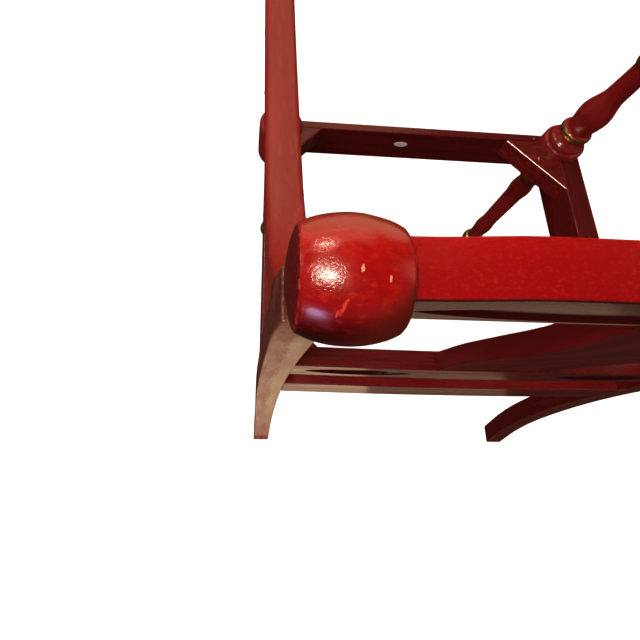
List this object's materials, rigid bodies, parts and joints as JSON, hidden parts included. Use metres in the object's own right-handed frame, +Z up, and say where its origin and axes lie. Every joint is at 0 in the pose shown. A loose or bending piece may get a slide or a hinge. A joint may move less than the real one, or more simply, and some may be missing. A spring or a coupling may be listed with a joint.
{
  "type": "open armchair frame",
  "caption": "Red lacquered open armchair frame with barrel-ended crest rail, splat back, swept arms on turned supports, sabre back legs and turned front legs, seat left out.",
  "frame": {"origin": "on the floor, below the middle of the overall width and depth", "axes": "+Z up, -Y towards the front of the chair, +X towards the sitter's left"},
  "size_m": [0.5586, 0.524, 0.8731],
  "materials": {
    "bright_lacquer": "glossy crackled scarlet lacquer, worn bright in patches",
    "dark_lacquer": "glossy dark maroon lacquer with dull gilt rings on the turnings",
    "satin_lacquer": "satin brick red lacquer, softly rubbed",
    "bare_beech": "bare beech, hidden inside the joints",
    "screw_steel": "dull steel under a thin film of lacquer",
    "ivory_tag": "blank cream oval tag"
  },
  "bodies": {
    "root": {"crest_rail": "bright_lacquer", "crest_barrel_left": "bright_lacquer", "crest_barrel_right": "bright_lacquer", "crest_dowel_left": "bare_beech", "crest_dowel_right": "bare_beech", "post_dowel_left": "bare_beech", "post_dowel_right": "bare_beech", "back_post_left": "dark_lacquer", "back_post_right": "dark_lacquer", "back_rail": "dark_lacquer", "back_splat": "dark_lacquer", "rear_seat_rail": "dark_lacquer", "front_seat_rail": "dark_lacquer", "side_seat_rail_left": "dark_lacquer", "side_seat_rail_right": "dark_lacquer", "front_leg_left": "dark_lacquer", "front_leg_right": "dark_lacquer", "arm_left": "satin_lacquer", "arm_right": "satin_lacquer", "arm_support_left": "dark_lacquer", "arm_support_right": "dark_lacquer", "corner_block_front_left": "dark_lacquer", "corner_block_front_right": "dark_lacquer", "corner_block_rear_left": "dark_lacquer", "corner_block_rear_right": "dark_lacquer", "corner_screw_front_left": "screw_steel", "corner_screw_front_right": "screw_steel", "corner_screw_rear_left": "screw_steel", "corner_screw_rear_right": "screw_steel", "rail_pin": "screw_steel", "rail_tag": "ivory_tag"}
  },
  "joints": []
}
